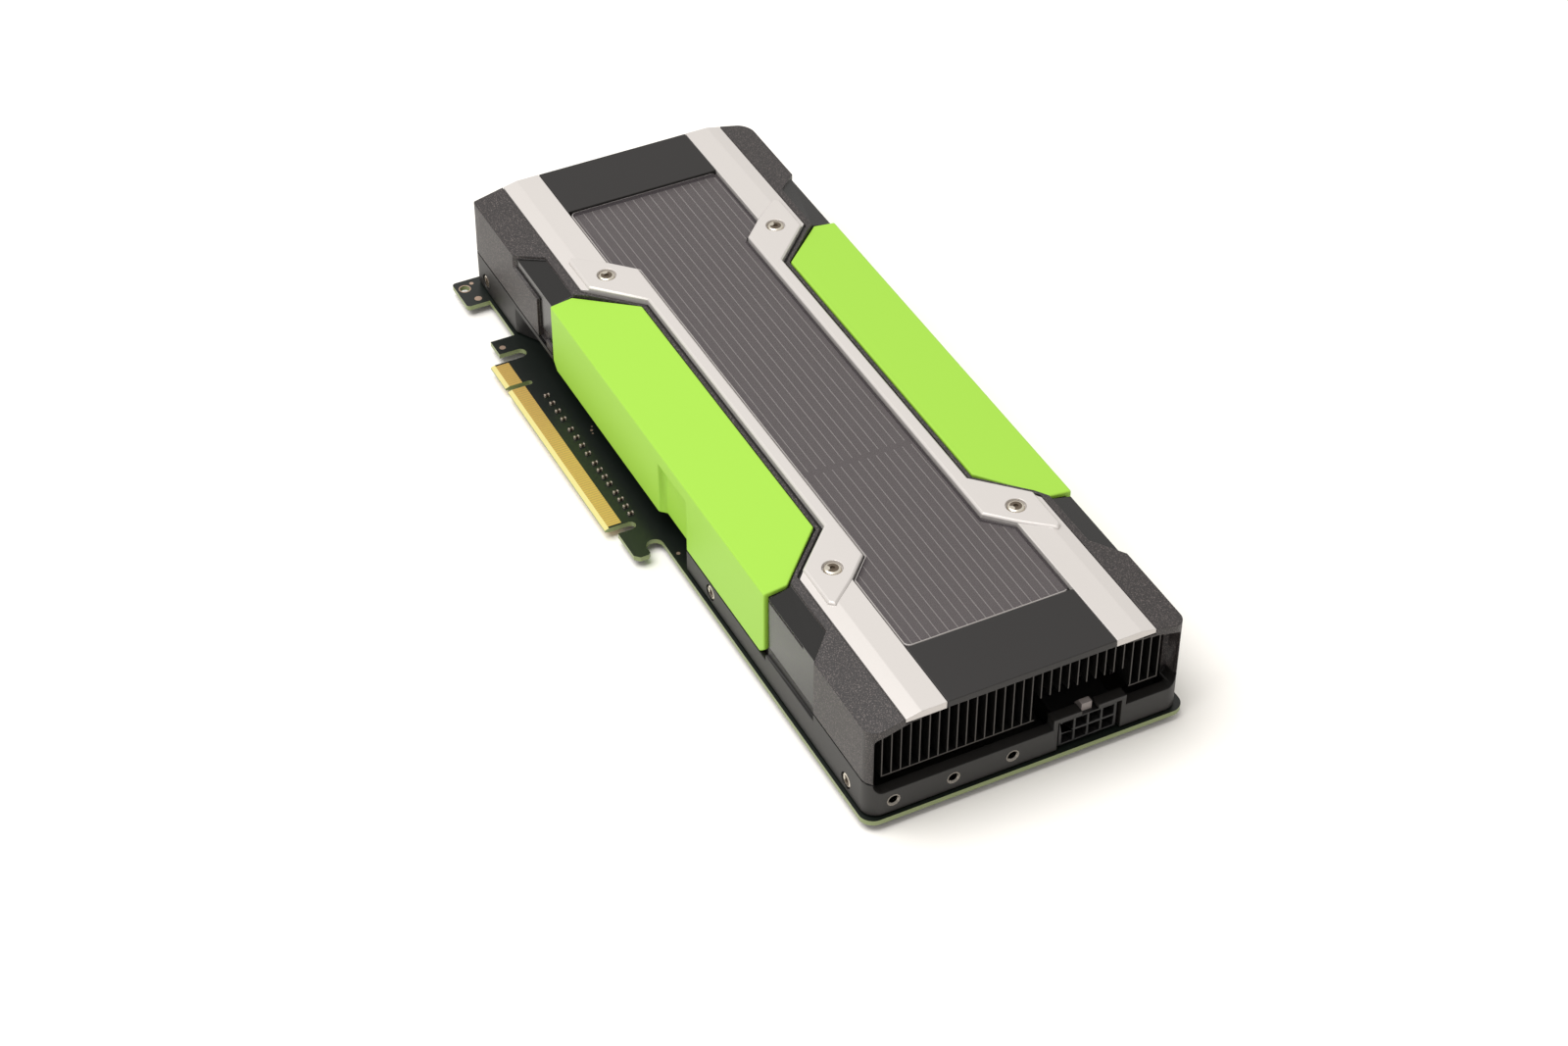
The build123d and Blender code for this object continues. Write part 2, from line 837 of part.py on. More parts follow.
def rail_outer(grow=0.0, neck_grow=0.0):
    # the rail's outer edge from its end to its narrow middle
    slide = neck_grow * math.sqrt(2)
    return [(cover_half_length, rail_outer_half + grow), (boss_outer_x + grow - slide, rail_outer_half + grow),
            (neck_outer_x + neck_grow - slide, neck_outer_half + neck_grow)]


def both_ends(points):
    return points + [(-x, y) for x, y in reversed(points)]


def both_sides(points):
    return points + [(-x, -y) for x, y in points]


def rail_sketch():
    inner = [(cover_half_length, rail_inner_half), (boss_inner_x, rail_inner_half), (neck_inner_x, neck_inner_half)]
    return outline(both_ends(rail_outer()) + list(reversed(both_ends(inner))))


def window_sketch(inset=0.0):
    end = window_half_length - inset
    step = (inset + window_gap) * math.tan(math.pi / 8)
    wide = rail_inner_half - window_gap - inset
    slim = neck_inner_half - window_gap - inset
    corners = both_ends([(end, wide), (boss_inner_x + step, wide), (neck_inner_x + step, slim)])
    sketch = outline(both_sides(corners))
    return fillet([v for v in sketch.vertices() if abs(v.X) > end - 1], window_corner)


def cover_profile(drop=0.0, side=0.0, foot=0.0):
    # the cover's section, lowered by drop and narrowed by side
    half = [(flat_half, top_height - drop), (rail_outer_half, top_height - rail_outer_drop - drop),
            (cover_half - side, z_shoulder - drop), (cover_half - side, foot)]
    return outline(half + [(-y, z) for y, z in reversed(half)])


def raised_boss():
    inner = [(boss_tip_x, boss_tip_half), (boss_inner_x, rail_inner_half), (neck_inner_x, neck_inner_half)]
    outer = [(boss_tip_x - (boss_outer_half - boss_tip_half), boss_outer_half),
             (boss_outer_x - (rail_outer_half - boss_outer_half), boss_outer_half), (neck_outer_x, neck_outer_half)]
    sketch = outline(both_ends(inner) + list(reversed(both_ends(outer))))
    body = plate(sketch, z_seat, top_height + boss_rise)
    return chamfer(body.edges().group_by(Axis.Z)[-1], boss_bevel)


def rail():
    end = cover_half_length
    body = plate(rail_sketch(), z_seat, top_height) & along_x(cover_profile(), -end, end)
    body += raised_boss()
    lip = block(end - rail_end_lip, end, rail_inner_half, rail_outer_half, top_height - mouth_top, z_seat)
    body += lip
    body += other_end(lip)
    z1 = top_height + boss_rise
    for x in (-rail_screw_x, rail_screw_x):
        body -= peg(x, rail_screw_half, z1 - rail_screw_sink_depth, z1, rail_screw_sink, head_sides)
        body -= peg(x, rail_screw_half, z_seat, z1, rail_screw_shank)
    return body


def rail_screws():
    parts = []
    seat = top_height + boss_rise - rail_screw_sink_depth
    head = seat + rail_screw_head_depth
    for x in (-rail_screw_x, rail_screw_x):
        screw = peg(x, rail_screw_half, seat, head, rail_screw_head, head_sides)
        screw += peg(x, rail_screw_half, rail_screw_low, seat, rail_screw_shank)
        screw -= peg(x, rail_screw_half, head - socket_depth, head, socket_size, socket_sides)
        parts += [screw, other_side(screw)]
    return parts


def window():
    return [plate(window_sketch(), z_seat, top_height - window_sink)]


def end_panel():
    half = rail_inner_half - fit_gap / 2
    end = cover_half_length
    body = block(window_half_length + window_gap, end, -half, half, z_seat, top_height)
    return body + block(end - rail_end_lip, end, -half, half, top_height - mouth_top, z_seat)


# Side panels: coloured covers over the shoulder, the contact side one with the latch pocket
def side_height(y):
    return z_shoulder + (cover_half - y) * side_slope


def side_plan(grow=0.0):
    end = side_half_length + grow
    out = cover_half + 1
    corner = side_corner_half + grow * (1 - math.sqrt(2))
    x1 = side_corner_x + grow * math.tan(math.pi / 8)
    return outline(both_ends([(end, out), (end, corner), (x1, side_inner_half - grow)]))


def side_profile(thickness):
    y0 = side_inner_half - 1
    y1 = cover_half - thickness
    return outline([(y0, side_height(y0)), (cover_half, z_shoulder), (cover_half, side_foot), (y1, side_foot),
                    (y1, side_height(y1) - thickness), (y0, side_height(y0) - thickness)])


def side_panel():
    end = side_half_length
    body = along_x(side_profile(side_thickness), -end, end) & plate(side_plan(), 0, top_height)
    view = area(-end, end, side_foot, top_height)
    view = chamfer(view.vertices().group_by(Axis.Y)[0], side_foot_corner)
    return body & along_y(view, 0, cover_half + 1)


def contact_side_panel():
    dish = latch_sketch(latch_wall) & area(-side_half_length, side_half_length, -cover_half, 0)
    body = other_side(side_panel()) + plate(dish, side_foot, latch_top + latch_wall)
    return body - plate(latch_sketch(), 0, latch_top)


# Shroud: the cover's main casting, with pockets for everything set into it
def recess_cuts():
    skin = along_x(cover_profile(), -recess_half_length, recess_half_length)
    skin -= along_x(cover_profile(recess_depth, recess_depth), -recess_half_length, recess_half_length)
    x0 = side_half_length - 1
    out = cover_half + 1
    plan = outline([(x0, recess_inner_half), (recess_bevel_x, recess_inner_half), (recess_half_length, cover_half),
                    (recess_half_length, out), (x0, out)])
    top = skin & plate(plan, z_shoulder - recess_step_drop, top_height)
    near_side = skin & block(x0, recess_half_length, cover_half - 1, out, 0, z_shoulder)
    far_side = skin & block(-recess_step_x, -x0, cover_half - 1, out, recess_foot_height, z_shoulder)
    z0 = seam_height + notch_rise
    notch = block(-recess_step_x, notch_length - recess_step_x, cover_half - mouth_wall, out, z0, z0 + notch_height)
    z1 = z_shoulder - groove_drop
    groove = block(x0, recess_bevel_x, cover_half - 2 * recess_depth, cover_half, z1 - groove_height, z1)
    return [top, other_end(top), near_side, far_side, notch, groove]


def mouth():
    x0 = cover_half_length - mouth_length
    x1 = cover_half_length + 1
    opening = cover_profile(mouth_top, mouth_wall)
    opening = fillet([v for v in opening.vertices() if v.Y > seam_height and abs(v.X) > rail_outer_half + 1],
                     mouth_corner)
    cut = along_x(opening, x0, x1)
    return cut + block(x0, x1, -rail_outer_half, rail_outer_half, z_seat - 1, z_seat + 1)


def hollow():
    half = [(skin_inner_half, skin_inner_top), (cover_half - cover_wall, skin_inner_side),
            (cover_half - cover_wall, 0)]
    section = outline(half + [(-y, z) for y, z in reversed(half)])
    space = along_x(section, -cover_half_length - 1, cover_half_length + 1)
    for x, y in rail_screw_places():
        space -= peg(x, y, rail_screw_low - fit_gap, top_height, rail_screw_boss)
    return space


def side_pocket():
    y0 = side_inner_half - 1
    y1 = cover_half - side_thickness
    end = side_half_length + fit_gap
    under = outline([(y0, side_height(y0) - side_thickness), (y1, side_height(y1) - side_thickness), (y1, 0), (y0, 0)])
    pocket = plate(side_plan(fit_gap), 0, top_height + 1) - along_x(under, -end, end)
    return pocket + plate(side_plan(fit_gap + side_rib), top_height - side_rib_drop, top_height + 1)


def shroud():
    end = cover_half_length
    body = along_x(cover_profile(foot=seam_height), -end, end) & plate(cover_sketch(), 0, top_height)
    body -= hollow()
    body -= mouth()
    body -= other_end(mouth())
    body -= plate(outline(both_sides(both_ends(rail_outer(fit_gap, rail_gap)))), z_seat, top_height + 1)
    body -= plate(window_sketch(window_ledge), skin_inner_top - 1, z_seat + 1)
    body -= side_pocket()
    body -= other_side(side_pocket())
    for cut in recess_cuts():
        body -= cut
        body -= other_side(cut)
    body -= latch_clearance(seam_height)
    for x, y in rail_screw_places():
        body -= peg(x, y, rail_screw_low, top_height, rail_screw_shank)
    return [body]


def main():
    save("circuit_board", [circuit_board()])
    save("edge_contacts", edge_contacts())
    save("board_pads", board_pads())
    save("coupling_capacitors", coupling_capacitors())
    save("back_plate", [back_plate()])
    save("back_plate_screws", back_plate_screws())
    save("processor_packages", place(processor_packages()))
    save("processor_dies", place(processor_dies()))
    save("front_memory", place(chips(0, memory_height)))
    save("rear_memory", place(chips(-board_thickness - rear_memory_height, -board_thickness)))
    save("thermal_pads", place(thermal_pads()))
    save("bridge_chip", place([plate(bridge_sketch(), 0, bridge_height)]))
    save("power_chokes", place(power_chokes()))
    save("power_stages", place(power_stages()))
    save("capacitors", place(capacitors()))
    save("base_frame", place(base_frame()))
    save("bracket_inserts", place(bracket_inserts()))
    save("frame_side_screws", place(frame_side_screws()))
    save("header_housing", place(pinned_housing()))
    save("header_pins", place(header_pins()))
    save("far_fin_bank", place(fin_bank(0)))
    save("near_fin_bank", place(fin_bank(1)))
    save("far_heatsink_plate", place(heatsink_plate(0)))
    save("near_heatsink_plate", place(heatsink_plate(1)))
    save("heatsink_screws", place(heatsink_screws()))
    save("shroud", place(shroud()))
    save("left_rail", place([other_side(rail())]))
    save("right_rail", place([rail()]))
    save("rail_screws", place(rail_screws()))
    save("window", place(window()))
    save("near_end_panel", place([end_panel()]))
    save("far_end_panel", place([other_end(end_panel())]))
    save("left_side_panel", place([contact_side_panel()]))
    save("right_side_panel", place([side_panel()]))


main()
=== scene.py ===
import math
import bmesh
import bpy
from mathutils import Matrix, Vector


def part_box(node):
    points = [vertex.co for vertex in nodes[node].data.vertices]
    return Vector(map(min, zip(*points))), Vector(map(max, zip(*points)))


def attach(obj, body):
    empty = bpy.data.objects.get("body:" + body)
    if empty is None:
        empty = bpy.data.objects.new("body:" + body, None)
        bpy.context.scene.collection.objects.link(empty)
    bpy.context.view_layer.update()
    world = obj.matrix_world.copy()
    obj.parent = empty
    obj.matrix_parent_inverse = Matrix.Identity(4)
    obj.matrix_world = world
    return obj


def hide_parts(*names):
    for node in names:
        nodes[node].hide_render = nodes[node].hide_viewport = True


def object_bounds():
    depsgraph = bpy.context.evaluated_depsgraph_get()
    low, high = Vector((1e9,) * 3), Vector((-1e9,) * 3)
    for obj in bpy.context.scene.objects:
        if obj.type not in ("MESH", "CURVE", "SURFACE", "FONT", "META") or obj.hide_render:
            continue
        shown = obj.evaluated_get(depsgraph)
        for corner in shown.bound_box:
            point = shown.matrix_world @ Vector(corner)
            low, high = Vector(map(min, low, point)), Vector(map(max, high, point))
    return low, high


# Passive accelerator card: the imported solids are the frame, and this script dresses them.
# Lengths in the dictionaries are millimetres and angles degrees; mm() turns lengths to metres.

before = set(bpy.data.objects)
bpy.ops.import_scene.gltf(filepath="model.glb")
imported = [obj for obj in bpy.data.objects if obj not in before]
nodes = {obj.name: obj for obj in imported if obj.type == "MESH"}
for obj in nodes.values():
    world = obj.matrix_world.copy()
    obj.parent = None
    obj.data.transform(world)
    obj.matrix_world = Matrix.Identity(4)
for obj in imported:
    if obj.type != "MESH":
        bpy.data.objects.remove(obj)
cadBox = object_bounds()
print("frame loaded:", len(nodes), "nodes")


def mm(value):
    return value / 1000


def linear(hexColour, alpha=1.0):
    # sRGB hex to the linear values that shaders take
    channels = [int(hexColour[i:i + 2], 16) / 255 for i in (0, 2, 4)]
    return [c / 12.92 if c <= 0.04045 else ((c + 0.055) / 1.055) ** 2.4 for c in channels] + [alpha]


def darker(hexColour, share):
    # the same hex colour with each channel turned down
    return "".join(f"{round(int(hexColour[i:i + 2], 16) * share):02X}" for i in (0, 2, 4))


def addNode(material, kind, settings=None, links=None):
    # one node with its settings and what feeds its inputs
    node = material.node_tree.nodes.new(kind)
    for name, value in (settings or {}).items():
        if isinstance(name, int) or name in node.inputs:
            node.inputs[name].default_value = value
        else:
            setattr(node, name, value)
    for name, (source, output) in (links or {}).items():
        material.node_tree.links.new(source.outputs[output], node.inputs[name])
    return node


def newFinish(name, settings):
    # a material with its shader; the rest is linked to what this returns
    material = bpy.data.materials.new(name)
    material.use_nodes = True
    shader = material.node_tree.nodes["Principled BSDF"]
    for key, value in settings.items():
        shader.inputs[key].default_value = value
    return material, shader


def join(material, source, output, target, socket):
    material.node_tree.links.new(source.outputs[output], target.inputs[socket])


# the colour mix node has several sockets of one name, so its colour sockets go by number
mixShare, mixFirst, mixSecond, mixResult = 0, 6, 7, 2

# what several finishes share
common = {"detail": 2.0, "refraction": 1.5, "relief": 0.2, "edgeSamples": 6}


def softEdges(material, shader, radius, relief, height, depth):
    # rounds the look of sharp edges, with a bump on top
    edge = addNode(material, "ShaderNodeBevel", {"samples": common["edgeSamples"], "Radius": mm(radius)})
    bump = addNode(material, "ShaderNodeBump", {"Strength": relief, "Distance": mm(depth)},
                   {"Height": height, "Normal": (edge, "Normal")})
    join(material, bump, "Normal", shader, "Normal")


def addGrain(material, shader, size, depth):
    # a fine even grain in relief
    places = addNode(material, "ShaderNodeTexCoord")
    grain = addNode(material, "ShaderNodeTexNoise", {"Scale": 1 / mm(size), "Detail": common["detail"]},
                    {"Vector": (places, "Object")})
    bump = addNode(material, "ShaderNodeBump", {"Strength": common["relief"], "Distance": mm(depth)},
                   {"Height": (grain, 0)})
    join(material, bump, 0, shader, "Normal")


# Finishes
greenPaint = {"colour": "95C53E", "roughness": 0.48, "gloss": 0.35, "grain": 0.35, "grainDepth": 0.012,
              "relief": 0.3, "edge": 0.5}


def makeGreenPaint():
    # painted moulded plastic: an even satin colour with a very fine grain
    s = greenPaint
    material, shader = newFinish("satin_green_paint", {
        "Base Color": linear(s["colour"]), "Roughness": s["roughness"], "IOR": common["refraction"],
        "Specular IOR Level": s["gloss"]})
    places = addNode(material, "ShaderNodeTexCoord")
    grain = addNode(material, "ShaderNodeTexNoise", {"Scale": 1 / mm(s["grain"]), "Detail": common["detail"]},
                    {"Vector": (places, "Object")})
    softEdges(material, shader, s["edge"], s["relief"], (grain, 0), s["grainDepth"])
    return material


railPaint = {"colour": "CAC5C1", "roughness": 0.38, "metallic": 0.3, "flake": 0.12, "flakeDepth": 0.01,
             "relief": 0.15, "edge": 0.35}


def makeRailPaint():
    # pale silver paint over cast metal: fine metal flake that softens the highlights
    s = railPaint
    material, shader = newFinish("silver_paint", {
        "Base Color": linear(s["colour"]), "Roughness": s["roughness"], "Metallic": s["metallic"]})
    places = addNode(material, "ShaderNodeTexCoord")
    flake = addNode(material, "ShaderNodeTexNoise", {"Scale": 1 / mm(s["flake"]), "Detail": common["detail"]},
                    {"Vector": (places, "Object")})
    softEdges(material, shader, s["edge"], s["relief"], (flake, 0), s["flakeDepth"])
    return material


casting = {"dark": "242020", "light": "6C6360", "spotStart": 0.52, "spotFull": 0.74, "roughness": 0.5,
           "grain": 0.36, "grainDepth": 0.04, "detail": 3.0, "relief": 0.5, "edge": 0.45}


def makeCasting(name):
    # textured black powder coat on cast aluminium: small crisp grains; the lighter colour on some grains is
    # partly their tone and partly painted glints, for the grains that catch the light
    s = casting
    material, shader = newFinish(name, {"Roughness": s["roughness"], "IOR": common["refraction"]})
    places = addNode(material, "ShaderNodeTexCoord")
    grain = addNode(material, "ShaderNodeTexNoise", {"Scale": 1 / mm(s["grain"]), "Detail": s["detail"]},
                    {"Vector": (places, "Object")})
    spots = addNode(material, "ShaderNodeMapRange", {"From Min": s["spotStart"], "From Max": s["spotFull"]},
                    {"Value": (grain, 0)})
    colour = addNode(material, "ShaderNodeMix", {
        "data_type": "RGBA", mixFirst: linear(s["dark"]), mixSecond: linear(s["light"])},
        {mixShare: (spots, 0)})
    join(material, colour, mixResult, shader, "Base Color")
    softEdges(material, shader, s["edge"], s["relief"], (grain, 0), s["grainDepth"])
    return material


smoothBlack = {"grain": 0.25, "grainDepth": 0.01, "edge": 0.4}


def makeSmoothBlack(name, colour, roughness):
    # moulded or painted black with a faint satin grain
    s = smoothBlack
    material, shader = newFinish(name, {
        "Base Color": linear(colour), "Roughness": roughness, "IOR": common["refraction"]})
    places = addNode(material, "ShaderNodeTexCoord")
    grain = addNode(material, "ShaderNodeTexNoise", {"Scale": 1 / mm(s["grain"]), "Detail": common["detail"]},
                    {"Vector": (places, "Object")})
    softEdges(material, shader, s["edge"], common["relief"], (grain, 0), s["grainDepth"])
    return material


plain = {"grain": 0.3, "shade": 0.93, "waver": 0.05, "depth": 0.003}


def makePlain(name, colour, roughness, metallic=0.0, drawn=1.0):
    # a surface as rolled, plated or moulded: tone and gloss waver over a fine grain, and drawn above 1
    # pulls that grain out into lines along the card
    s = plain
    material, shader = newFinish(name, {"Metallic": metallic})
    places = addNode(material, "ShaderNodeTexCoord")
    pulled = addNode(material, "ShaderNodeMapping", {"Scale": (1 / drawn, 1, 1)},
                     {"Vector": (places, "Object")})
    grain = addNode(material, "ShaderNodeTexNoise", {"Scale": 1 / mm(s["grain"]), "Detail": common["detail"]},
                    {"Vector": (pulled, 0)})
    tone = addNode(material, "ShaderNodeMix", {
        "data_type": "RGBA", mixFirst: linear(darker(colour, s["shade"])), mixSecond: linear(colour)},
        {mixShare: (grain, 0)})
    join(material, tone, mixResult, shader, "Base Color")
    gloss = addNode(material, "ShaderNodeMapRange", {
        "To Min": roughness - s["waver"], "To Max": roughness + s["waver"]}, {"Value": (grain, 0)})
    join(material, gloss, 0, shader, "Roughness")
    bump = addNode(material, "ShaderNodeBump", {"Strength": common["relief"], "Distance": mm(s["depth"])},
                   {"Height": (grain, 0)})
    join(material, bump, 0, shader, "Normal")
    return material


board = {"mask": "0C120E", "cut": "7F8A5C", "bevel": "CFC47F", "between": "AC9350", "roughness": 0.35,
         "maskTilt": 0.98, "bevelTilt": 0.9, "contactReach": 5.6}


def makeLaminate():
    # fibreglass board: near-black green solder mask on the faces, olive where it is cut, pale on the
    # bevel, and yellowish between the edge contacts, where the mask is left open
    s = board
    material, shader = newFinish("fibreglass_laminate", {
        "Roughness": s["roughness"], "IOR": common["refraction"]})
    shape = addNode(material, "ShaderNodeNewGeometry")
    parts = addNode(material, "ShaderNodeSeparateXYZ", {}, {0: (shape, "Normal")})
    level = addNode(material, "ShaderNodeMath", {"operation": "ABSOLUTE"}, {0: (parts, "Z")})
    tilted = addNode(material, "ShaderNodeMath", {"operation": "GREATER_THAN", 1: s["bevelTilt"]},
                     {0: (level, 0)})
    face = addNode(material, "ShaderNodeMath", {"operation": "GREATER_THAN", 1: s["maskTilt"]},
                   {0: (level, 0)})
    edges = addNode(material, "ShaderNodeMix", {
        "data_type": "RGBA", mixFirst: linear(s["cut"]), mixSecond: linear(s["bevel"])},
        {mixShare: (tilted, 0)})
    places = addNode(material, "ShaderNodeTexCoord")
    place = addNode(material, "ShaderNodeSeparateXYZ", {}, {0: (places, "Object")})
    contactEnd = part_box("circuit_board")[0].y + mm(s["contactReach"])
    nearEdge = addNode(material, "ShaderNodeMath", {"operation": "LESS_THAN", 1: contactEnd},
                       {0: (place, "Y")})
    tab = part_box("edge_contacts")
    afterStart = addNode(material, "ShaderNodeMath", {"operation": "GREATER_THAN", 1: tab[0].x},
                         {0: (place, "X")})
    beforeEnd = addNode(material, "ShaderNodeMath", {"operation": "LESS_THAN", 1: tab[1].x},
                        {0: (place, "X")})
    along = addNode(material, "ShaderNodeMath", {"operation": "MULTIPLY"},
                    {0: (afterStart, 0), 1: (beforeEnd, 0)})
    bare = addNode(material, "ShaderNodeMath", {"operation": "MULTIPLY"}, {0: (along, 0), 1: (nearEdge, 0)})
    faces = addNode(material, "ShaderNodeMix", {
        "data_type": "RGBA", mixFirst: linear(s["mask"]), mixSecond: linear(s["between"])},
        {mixShare: (bare, 0)})
    colour = addNode(material, "ShaderNodeMix", {"data_type": "RGBA"}, {
        mixShare: (face, 0), mixFirst: (edges, mixResult), mixSecond: (faces, mixResult)})
    join(material, colour, mixResult, shader, "Base Color")
    return material


fins = {"side": "0D0C0B", "end": "403C39", "endTilt": 0.5, "roughness": 0.5, "metallic": 0.2,
        "grain": 0.2, "grainDepth": 0.004}


def makeFins():
    # folded aluminium strip: grey cut ends, and sides painted near black as painted shade, where they lie in
    # each other's shade
    s = fins
    material, shader = newFinish("folded_aluminium", {
        "Roughness": s["roughness"], "Metallic": s["metallic"]})
    shape = addNode(material, "ShaderNodeNewGeometry")
    facing = addNode(material, "ShaderNodeSeparateXYZ", {}, {0: (shape, "Normal")})
    along = addNode(material, "ShaderNodeMath", {"operation": "ABSOLUTE"}, {0: (facing, "X")})
    cutEnd = addNode(material, "ShaderNodeMath", {"operation": "GREATER_THAN", 1: s["endTilt"]},
                     {0: (along, 0)})
    colour = addNode(material, "ShaderNodeMix", {
        "data_type": "RGBA", mixFirst: linear(s["side"]), mixSecond: linear(s["end"])},
        {mixShare: (cutEnd, 0)})
    join(material, colour, mixResult, shader, "Base Color")
    addGrain(material, shader, s["grain"], s["grainDepth"])
    return material


# the line colour is a painted highlight on the bends of the fins
finTops = {"pitch": 2.79, "farLine": 5.07, "nearLine": 6.0, "split": 34.45, "plain": 2.1,
           "lineWidth": 0.27, "flat": "8F8A88", "line": "E6E1DC", "roughness": 0.5, "metallic": 0.2,
           "grain": 0.2, "grainDepth": 0.004, "edge": 0.3, "thickness": 0.03, "clearance": 0.06}


def makeFinTops():
    # the flat satin tops of the folded strip, with a painted highlight: a bright line where one bend meets
    # the next, for the light that the rounded bend catches; the lines of the near bank lie to one side of the
    # far bank's, and a plain band parts them
    s = finTops
    material, shader = newFinish("folded_aluminium_tops", {
        "Roughness": s["roughness"], "Metallic": s["metallic"]})
    places = addNode(material, "ShaderNodeTexCoord")
    parts = addNode(material, "ShaderNodeSeparateXYZ", {}, {0: (places, "Object")})
    isNear = addNode(material, "ShaderNodeMath", {"operation": "GREATER_THAN", 1: mm(s["split"])},
                     {0: (parts, "X")})
    phase = addNode(material, "ShaderNodeMath", {
        "operation": "MULTIPLY_ADD", 1: mm(s["nearLine"] - s["farLine"]), 2: mm(s["farLine"])},
        {0: (isNear, 0)})
    offset = addNode(material, "ShaderNodeMath", {"operation": "SUBTRACT"}, {0: (parts, "Y"), 1: (phase, 0)})
    near = addNode(material, "ShaderNodeMath", {"operation": "PINGPONG", 1: mm(s["pitch"]) / 2},
                   {0: (offset, 0)})
    bendHighlight = addNode(material, "ShaderNodeMath", {"operation": "LESS_THAN", 1: mm(s["lineWidth"]) / 2},
                   {0: (near, 0)})
    across = addNode(material, "ShaderNodeMath", {"operation": "SUBTRACT", 1: mm(s["split"])},
                     {0: (parts, "X")})
    away = addNode(material, "ShaderNodeMath", {"operation": "ABSOLUTE"}, {0: (across, 0)})
    lined = addNode(material, "ShaderNodeMath", {"operation": "GREATER_THAN", 1: mm(s["plain"]) / 2},
                    {0: (away, 0)})
    shown = addNode(material, "ShaderNodeMath", {"operation": "MULTIPLY"}, {0: (bendHighlight, 0), 1: (lined, 0)})
    colour = addNode(material, "ShaderNodeMix", {
        "data_type": "RGBA", mixFirst: linear(s["flat"]), mixSecond: linear(s["line"])},
        {mixShare: (shown, 0)})
    join(material, colour, mixResult, shader, "Base Color")
    addGrain(material, shader, s["grain"], s["grainDepth"])
    return material


capacitor = {"body": "3A2E26", "ends": "A1948A", "bodyLength": 0.8, "roughness": 0.4}


def makeCapacitor():
    # ceramic chip capacitor: a brown body between two tinned ends, which catch the light
    s = capacitor
    material, shader = newFinish("ceramic_chip", {"Roughness": s["roughness"]})
    lowest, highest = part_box("coupling_capacitors")
    places = addNode(material, "ShaderNodeTexCoord")
    parts = addNode(material, "ShaderNodeSeparateXYZ", {}, {0: (places, "Object")})
    offset = addNode(material, "ShaderNodeMath", {"operation": "SUBTRACT", 1: (lowest.y + highest.y) / 2},
                     {0: (parts, "Y")})
    away = addNode(material, "ShaderNodeMath", {"operation": "ABSOLUTE"}, {0: (offset, 0)})
    end = addNode(material, "ShaderNodeMath", {"operation": "GREATER_THAN", 1: mm(s["bodyLength"]) / 2},
                  {0: (away, 0)})
    colour = addNode(material, "ShaderNodeMix", {
        "data_type": "RGBA", mixFirst: linear(s["body"]), mixSecond: linear(s["ends"])},
        {mixShare: (end, 0)})
    join(material, colour, mixResult, shader, "Base Color")
    return material


pane = {"colour": "4A4346", "alpha": 0.35, "refraction": 1.49, "patches": 4.0, "smooth": 0.09, "hazy": 0.15}


def makeWindow():
    # smoked clear plastic: a thin grey sheet that the fins show through, its gloss a little uneven
    s = pane
    material, shader = newFinish("smoked_clear_plastic", {
        "Base Color": linear(s["colour"]), "IOR": s["refraction"], "Alpha": s["alpha"]})
    places = addNode(material, "ShaderNodeTexCoord")
    patches = addNode(material, "ShaderNodeTexNoise", {
        "Scale": 1 / mm(s["patches"]), "Detail": common["detail"]}, {"Vector": (places, "Object")})
    gloss = addNode(material, "ShaderNodeMapRange", {
        "To Min": s["smooth"], "To Max": s["hazy"]}, {"Value": (patches, 0)})
    join(material, gloss, 0, shader, "Roughness")
    return material


finishes = {
    "panel_green": makeGreenPaint(),
    "rail_paint": makeRailPaint(),
    "textured_black": makeCasting("textured_black_coat"),
    "dark_casting": makeSmoothBlack("dark_casting", "171513", roughness=0.48),
    "panel_black": makeSmoothBlack("matt_black_panel", "181514", roughness=0.52),
    "black_sheet": makeSmoothBlack("black_painted_steel", "1A1918", roughness=0.5),
    "board_laminate": makeLaminate(),
    "window_plastic": makeWindow(),
    "header_plastic": makeSmoothBlack("black_nylon", "141313", roughness=0.4),
    # hard gold over nickel on the contacts: warm and satin, not mirror bright
    "gold_plating": makePlain("gold_plating", "DDB765", roughness=0.4, metallic=0.6),
    "fin_aluminium": makeFins(),
    # milled plate: pale, with tool lines along the card
    "plate_aluminium": makePlain("milled_aluminium", "A7A6A3", roughness=0.35, metallic=1.0, drawn=12.0),
    # bright nickel on steel screws, slightly cream
    "screw_steel": makePlain("nickelled_steel", "EDE5D6", roughness=0.3, metallic=1.0),
    # nickel in the threaded inserts, darker than bright nickel: painted shade, so that the rings look dark
    # except where they catch light
    "plated_brass": makePlain("nickelled_brass", "8F8A83", roughness=0.22, metallic=1.0),
    "ceramic": makeCapacitor(),
    # tin on the header's pins: pale and soft
    "tinned_pins": makePlain("tinned_copper", "C2C2BE", roughness=0.3, metallic=1.0),
    # moulded epoxy of memory, bridge chip, chokes and power stages: dull grey black
    "chip_plastic": makePlain("moulded_epoxy", "1B1A1A", roughness=0.55),
    # drawn aluminium cans of the capacitors, with lines from the drawing
    "can_aluminium": makePlain("drawn_aluminium", "B4B3B0", roughness=0.3, metallic=1.0, drawn=6.0),
    # polished back of the processor dies: dark blue grey, close to a mirror
    "silicon": makePlain("polished_silicon", "4A4E57", roughness=0.15, metallic=0.8),
    # green laminate that carries the dies, under a thin mask
    "package_laminate": makePlain("package_laminate", "1F3A2B", roughness=0.45),
    # soft grey pads between chips and plate: matt and slightly rough
    "thermal_gel": makePlain("thermal_gel", "8C8F94", roughness=0.8),
}

for node in nodes.values():
    for place in node.material_slots:
        slotName = place.material.name.split(".")[0] if place.material else ""
        if slotName in finishes:
            place.material = finishes[slotName]
        else:
            print("slot without a finish:", node.name, slotName)
tops = makeFinTops()
